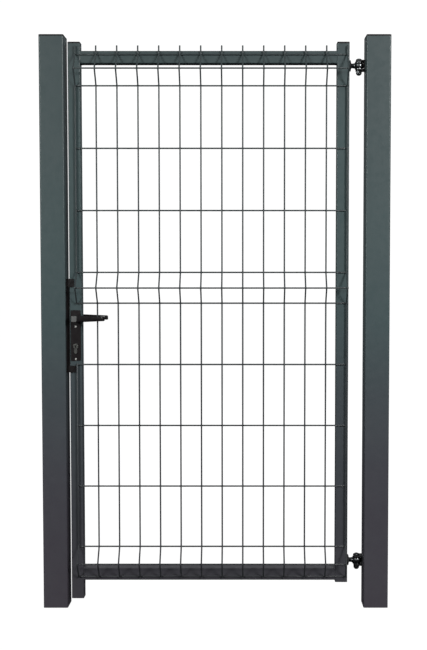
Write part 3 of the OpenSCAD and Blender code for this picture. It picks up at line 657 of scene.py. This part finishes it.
PIN_X = joints["gate_swing"]["pos_m"][0] / MM
EYE_BOLTS = {node: mm_middle(node).z for node in ("bottom_eye_bolt", "top_eye_bolt")}
HINGE_ZS = list(EYE_BOLTS.values())
EYE_R, EYE_HALF = 16.0, 9.0
EYE_STEPS = 12
ROD_R, ROD_START, ROD_LEN = 8.0, 400.0, 31.5
THREAD_X0, THREAD_X1 = 431.0, 446.2
THREAD_PITCH, THREAD_DEPTH, THREAD_FADE = 2.0, 0.75, 0.8
NECK_START = 445.4
NUT_FLAT, NUT_TOP, NUT_SHOULDER = 18.0, 16.6, 25.4      # the two heights are below the eye's middle
WASHER_Z = 10.55        # middle of each washer, above and below the eye's middle
PIN_SEG, EYE_SEG, ROD_SEG = 48, 56, 40      # segments round each shape


def add_hex(g, m, flat, z0, z1, dome, seg=48):
    """Hexagon with turned chamfers from z0 up to z1, then the dome's (radius, height) rows."""
    corner = flat / 2 / math.cos(math.pi / 6)
    rings = []
    # (height, radius that the chamfer cuts the hexagon to)
    for z, limit in (
        (z0, flat / 2 - 0.3), (z0 + 0.05, flat / 2 - 0.1), (z0 + 0.55, corner - 0.45), (z0 + 1.0, corner),
        (z1 - 1.2, corner), (z1 - 0.6, corner - 0.5), (z1, flat / 2 - 0.2),
    ):
        ring = []
        for t in angles(seg):
            from_flat = (t + math.pi / 6) % (math.pi / 3) - math.pi / 6
            r = min(flat / 2 / math.cos(from_flat), limit)
            ring.append((r * math.cos(t), r * math.sin(t), z))
        rings.append(ring)
    rings += [turned_ring(r, z, seg) for r, z in dome]
    g.loft(rings, m)


def threaded(g, x0, x1, z, r, seg=32, step=8):
    """A true helical thread along X, on the line y = 0; step is the number of rings per turn."""
    n = round((x1 - x0) / THREAD_PITCH * step)
    rings = []
    for i in range(n + 1):
        x = x0 + (x1 - x0) * i / n
        fade = max(0.0, min(1.0, (x - x0) / THREAD_FADE, (x1 - x) / THREAD_FADE))
        ring = []
        for j, a in enumerate(angles(seg)):
            phase = ((x - x0) / THREAD_PITCH - j / seg) % 1.0
            cut = THREAD_DEPTH * (1 - abs(2 * phase - 1)) * fade
            ring.append((x, (r - cut) * math.cos(a), z + (r - cut) * math.sin(a)))
        rings.append(ring)
    g.loft(rings)


rim = math.asin(EYE_HALF / EYE_R)
eye_lower = [(8.05, -8.5), (8.5, -EYE_HALF), (12.7, -EYE_HALF), (13.1, -8.85)]
eye_crown = []
for k in range(1, EYE_STEPS):
    a = rim * (2 * k / EYE_STEPS - 1)
    eye_crown.append((EYE_R * math.cos(a), EYE_R * math.sin(a)))
eye_profile = mirrored(eye_lower, eye_crown)
eye_neck = [(7.2, 0), (7.8, 0.4), (8.0, 1.2), (8.2, 3.0), (8.6, 4.4), (9.2, 5.5)]

for node, z in EYE_BOLTS.items():
    g = Geo()
    g.lathe(eye_profile, at(PIN_X, 0, z), EYE_SEG, closed=True)
    g.lathe([(ROD_R, 0), (ROD_R, ROD_LEN)], at(ROD_START, 0, z) @ ALONG_X, ROD_SEG)
    threaded(g, THREAD_X0, THREAD_X1, z, ROD_R)
    g.lathe(eye_neck, at(NECK_START, 0, z) @ ALONG_X, ROD_SEG)
    g.piece(f"turned_{node}", "zinc", "leaf", (node,))


def at_both_hinges(name, slot, body, node, profile, turn=Matrix(), x=PIN_X, seg=PIN_SEG, closed=False):
    """One turned shape at each hinge, as one piece."""
    g = Geo()
    for z in HINGE_ZS:
        g.lathe(profile, at(x, 0, z) @ turn, seg, closed)
    g.piece(name, slot, body, (node,))


at_both_hinges(
    "eye_bushes", "white_nylon", "leaf", "hinge_bushes",
    mirrored([(6.05, -8.6), (6.4, -9.0), (7.7, -9.0), (8.0, -8.7)]), closed=True,
)
at_both_hinges(
    "domed_hinge_pins", "zinc", "posts", "hinge_pins",
    [
        (0.6, 23.5), (3.2, 23.2), (5.8, 22.4), (8.0, 21.1), (9.4, 19.7), (9.95, 18.6), (10.0, 18.2),
        (10.0, 17.0), (9.75, 16.62), (9.4, 16.55), (6.0, 16.55), (6.0, -24.8), (5.4, -25.4), (0.6, -25.4),
    ],
)

nut_dome = [
    (8.3, 25.5), (8.35, 26.1), (8.0, 27.2), (7.2, 28.4),
    (5.9, 29.6), (4.2, 30.6), (2.3, 31.3), (0.6, 31.5),
]
g = Geo()
for z in HINGE_ZS:
    add_hex(g, at(PIN_X, 0, z) @ UPSIDE_DOWN, NUT_FLAT, NUT_TOP, NUT_SHOULDER, nut_dome)
g.piece("pointed_cap_nuts", "zinc", "posts", ("hinge_nuts",))

g = Geo()
washer_profile = mirrored([(6.1, -1.2), (6.3, -1.4), (12.5, -1.4), (13.0, -1.0)])
for z in HINGE_ZS:
    for s in (-1, 1):
        g.lathe(washer_profile, at(PIN_X, 0, z + s * WASHER_Z), PIN_SEG, closed=True)
g.piece("turned_washers", "zinc", "posts", ("hinge_washers",))

at_both_hinges(
    "moulded_collars", "bracket_paint", "leaf", "hinge_collars",
    [
        (8.1, 0.2), (8.3, 0), (17.3, 0), (18.0, 0.6), (18.0, 3.9), (17.3, 4.7),
        (15.9, 5.1), (11.4, 5.2), (10.6, 5.6), (9.9, 6.45), (8.4, 6.5), (8.1, 6.2),
    ],
    ALONG_X, x=hinge_stile_hi.x + SEAT_GAP, seg=EYE_SEG, closed=True,
)


# ---------------------------------------------------------------- levers

LEVER_X, _, LEVER_Z = (c / MM for c in joints["lever_turn"]["pos_m"])
ARM_Y = -57.0                       # middle of the arm's thickness
TIP_X = LEVER_X + 93.1              # middle of the returned tip
ARM_T, ARM_THINNER = 10.0, 1.2      # thickness at the hub, and how much less at the tip
HUB_H, ROOT_H, TIP_H = 18.6, 21.4, 14.5
HUB_RUN = 6.0                       # stretch of the arm inside the hub
TAPER_FROM, TAPER_SHORT = 8.5, 22.0
CORNER_R = 4.2
CAP_PEG_Y, COLLAR_Y = 57.5, 20.05   # inner ends of the end cap's peg and of the collar
HUB_END_Y = 19.5                    # inner end of the lever's hub, from the leaf's middle


def corner_of(half_thick):
    return min(half_thick, CORNER_R) - 0.3


def arm_slice(p, across, half_thick, half_high, corner):
    """Section of a lever's arm at the point p of its line; across is a unit vector in plan."""
    section = rounded(half_thick, half_high, corner)
    return [(p.x + across.x * u, p.y + across.y * u, LEVER_Z + w) for u, w in section]


def lever(name, node, back):
    """One lever; the back one is the front one's mirror image."""
    g = Geo()
    corners = [(LEVER_X, ARM_Y), (LEVER_X + 72.0, ARM_Y), (TIP_X, -52.6), (TIP_X, -45.4)]
    bent = fillet(corners, 8.0, 18)
    line = [bent[0].lerp(bent[1], k / 10) for k in range(10)] + bent[1:]
    runs = [0.0]
    for a, b in zip(line, line[1:]):
        runs.append(runs[-1] + (b - a).length)

    rings = []
    for i, (p, run) in enumerate(zip(line, runs)):
        t = (line[min(len(line) - 1, i + 1)] - line[max(0, i - 1)]).normalized()
        across = Vector((-t.y, t.x))
        k = min(1.0, max(0.0, (run - TAPER_FROM) / (runs[-1] - TAPER_SHORT)))
        high = (ROOT_H + (TIP_H - ROOT_H) * k if run > HUB_RUN else HUB_H) / 2
        thick = (ARM_T - ARM_THINNER * k) / 2
        rings.append(arm_slice(p, across, thick, high, corner_of(thick)))
    # the loop's values are now those of the tip, which three smaller sections round off
    for push, shrink in ((0.5, 0.35), (0.9, 1.1), (1.1, 2.2)):
        corner = max(0.6, corner_of(thick) - shrink)
        rings.append(arm_slice(p + t * push, across, thick - shrink, high - shrink, corner))
    g.loft(rings)

    # (half width, half height, corner radius, y) along the neck
    neck = [
        (7.9, 8.9, 1.6, -24.85), (8.5, 9.5, 2.0, -25.4), (8.5, 9.5, 2.0, -60.9),
        (8.3, 9.3, 1.9, -61.6), (7.7, 8.7, 1.5, -62.0),
    ]
    g.loft([[(LEVER_X + u, y, LEVER_Z + w) for u, w in rounded(hx, hz, r)] for hx, hz, r, y in neck])
    g.lathe([(8.0, 0), (8.0, 5.6)], at(LEVER_X, -HUB_END_Y, LEVER_Z) @ ALONG_MINUS_Y, 40)
    if back:
        g.v = [Vector((p.x, -p.y, p.z)) for p in g.v]
    g.piece(name, "lever_black", "handles", (node,))


lever("cast_front_lever", "front_lever", back=False)
lever("cast_back_lever", "back_lever", back=True)

SIDES = ((-1, ALONG_MINUS_Y), (1, ALONG_PLUS_Y))    # front and back of the leaf

g = Geo()
# (half width, half height, corner radius, distance from the leaf's middle)
cap_rows = [
    (7.9, 8.9, 0.8, 62.05), (8.3, 9.3, 1.2, 62.3), (8.3, 9.3, 1.2, 62.8),
    (8.0, 9.0, 1.1, 63.15), (7.0, 8.0, 0.9, 63.35), (3.0, 3.5, 0.5, 63.45),
]
for s, outward in SIDES:
    g.loft([[(LEVER_X + u, s * y, LEVER_Z + w) for u, w in rounded(hx, hz, r)] for hx, hz, r, y in cap_rows])
    g.lathe([(3.0, 0), (3.0, 4.6)], at(LEVER_X, s * CAP_PEG_Y, LEVER_Z) @ outward, 24)
g.piece("lever_end_caps", "cap_grey", "handles", ("lever_caps",))

g = Geo()
collar_profile = [
    (8.05, 0), (9.95, 0), (9.95, 3.0), (11.6, 3.0), (12.0, 3.3),
    (12.0, 3.9), (11.5, 4.35), (8.6, 4.4), (8.05, 4.0),
]
for s, outward in SIDES:
    g.lathe(collar_profile, at(LEVER_X, s * COLLAR_Y, LEVER_Z) @ outward, closed=True)
g.piece("lever_collars", "dark_nylon", "leaf", ("lever_bushes",))


# ---------------------------------------------------------------- buffers

STOP_FACE_Y = -22.0     # face of the keep's stops that the leaf closes against
pad_profile = [
    (0.5, -3.45), (1.9, -3.45), (2.0, -3.2), (2.0, 0.05), (4.7, 0.05),
    (5.0, 0.3), (5.0, 1.0), (4.6, 1.5), (3.4, 1.7), (0.5, 1.7),
]
g = Geo()
for stop in ("keep_top_stop", "keep_bottom_stop"):
    place = at(mm_middle("stop_buffers").x, STOP_FACE_Y, mm_middle(stop).z)
    g.lathe(pad_profile, place @ ALONG_PLUS_Y, 40)
g.piece("stop_pads", "buffer_rubber", "posts", ("stop_buffers",))

for name in nodes:
    if not nodes[name].hide_render:
        dress_cad(name)


# ---------------------------------------------------------------- floor, lights, camera

AIM = Vector((0, 0, 0.95))      # what the lights point at
FLOOR_HALF = 30.0
CAMERA_PLACE = (0.0998, -3.733, 1.128)
CAMERA_DIP = 3.071              # degrees below level
CAMERA_LENS = 63.23             # millimetres on a 36 mm sensor
CAMERA_SHIFT = -0.0502


def area_light(name, azimuth, elevation, distance, size, watts, colour=(1, 1, 1)):
    """Azimuth 0 stands in front of the gate, on its -Y side; positive is towards +X."""
    light = bpy.data.lights.new(name, "AREA")
    light.shape = "SQUARE"
    light.size = size
    light.energy = watts
    light.color = colour
    obj = bpy.data.objects.new(name, light)
    bpy.context.scene.collection.objects.link(obj)
    a, e = math.radians(azimuth), math.radians(elevation)
    outward = Vector((math.sin(a) * math.cos(e), -math.cos(a) * math.cos(e), math.sin(e)))
    obj.location = AIM + outward * distance
    obj.rotation_euler = (-outward).to_track_quat("-Z", "Y").to_euler()
    return obj


area_light(
    "soft_left", azimuth=-36, elevation=13, distance=8.5, size=1.5, watts=215, colour=(0.97, 1.0, 0.99),
)
area_light(
    "soft_right", azimuth=36, elevation=20, distance=5.4, size=1.1, watts=125, colour=(1.0, 0.99, 0.99),
)
for name, azimuth in (("soft_back_left", 196), ("soft_back_right", 164)):
    back = area_light(name, azimuth, elevation=22, distance=6.0, size=2.0, watts=95)
    back.visible_glossy = False


def pale_floor():
    """A floor that glows evenly and still takes a faint shadow."""
    mesh = bpy.data.meshes.new("pale_floor")
    corners = [(sx * FLOOR_HALF, sy * FLOOR_HALF, 0) for sx, sy in ((-1, -1), (1, -1), (1, 1), (-1, 1))]
    mesh.from_pydata(corners, [], [(0, 1, 2, 3)])
    mat = bpy.data.materials.new("pale_floor")
    mat.use_nodes = True
    tree = mat.node_tree
    tree.nodes.clear()
    out = add_node(tree, "ShaderNodeOutputMaterial")
    both = add_node(tree, "ShaderNodeAddShader")
    glow = add_node(tree, "ShaderNodeEmission", Color=WHITE, Strength=0.99)
    diffuse = add_node(tree, "ShaderNodeBsdfDiffuse", Color=(0.08, 0.08, 0.08, 1))
    tree.links.new(glow.outputs[0], both.inputs[0])
    tree.links.new(diffuse.outputs[0], both.inputs[1])
    tree.links.new(both.outputs[0], out.inputs["Surface"])
    mesh.materials.append(mat)
    obj = bpy.data.objects.new("pale_floor", mesh)
    bpy.context.scene.collection.objects.link(obj)
    obj.visible_diffuse = False
    obj.visible_glossy = False
    return obj


def studio_world():
    """White to the camera; to the gate, a fill that is dark below the horizon and pale above."""
    world = bpy.data.worlds.new("studio")
    bpy.context.scene.world = world
    world.use_nodes = True
    tree = world.node_tree
    tree.nodes.clear()
    out = add_node(tree, "ShaderNodeOutputWorld")
    choose = add_node(tree, "ShaderNodeMixShader")
    path = add_node(tree, "ShaderNodeLightPath")
    seen = add_node(tree, "ShaderNodeBackground", Color=WHITE, Strength=1.05)
    fill = add_node(tree, "ShaderNodeBackground")
    direction = add_node(tree, "ShaderNodeTexCoord")
    split = add_node(tree, "ShaderNodeSeparateXYZ")
    height = add_node(tree, "ShaderNodeMapRange", From_Min=-1.0)
    ramp = add_node(tree, "ShaderNodeValToRGB")
    below, above = ramp.color_ramp.elements
    below.position, below.color = 0.42, (0.014, 0.014, 0.016, 1)
    above.position, above.color = 0.75, (0.22, 0.225, 0.23, 1)
    for source, target in (
        (direction.outputs["Generated"], split.inputs[0]),
        (split.outputs["Z"], height.inputs["Value"]),
        (height.outputs["Result"], ramp.inputs["Fac"]),
        (ramp.outputs["Color"], fill.inputs["Color"]),
        (path.outputs["Is Camera Ray"], choose.inputs["Fac"]),
        (fill.outputs[0], choose.inputs[1]),
        (seen.outputs[0], choose.inputs[2]),
        (choose.outputs[0], out.inputs["Surface"]),
    ):
        tree.links.new(source, target)


pale_floor()
studio_world()

camera = bpy.data.cameras.new("camera")
camera.sensor_width = 36.0
camera.lens = CAMERA_LENS
camera.shift_x = CAMERA_SHIFT
camera.clip_end = 100.0
cam_obj = bpy.data.objects.new("camera", camera)
bpy.context.scene.collection.objects.link(cam_obj)
cam_obj.location = CAMERA_PLACE
cam_obj.rotation_euler = (math.radians(90 - CAMERA_DIP), 0, 0)
bpy.context.scene.camera = cam_obj
bpy.context.scene.view_settings.view_transform = "Standard"
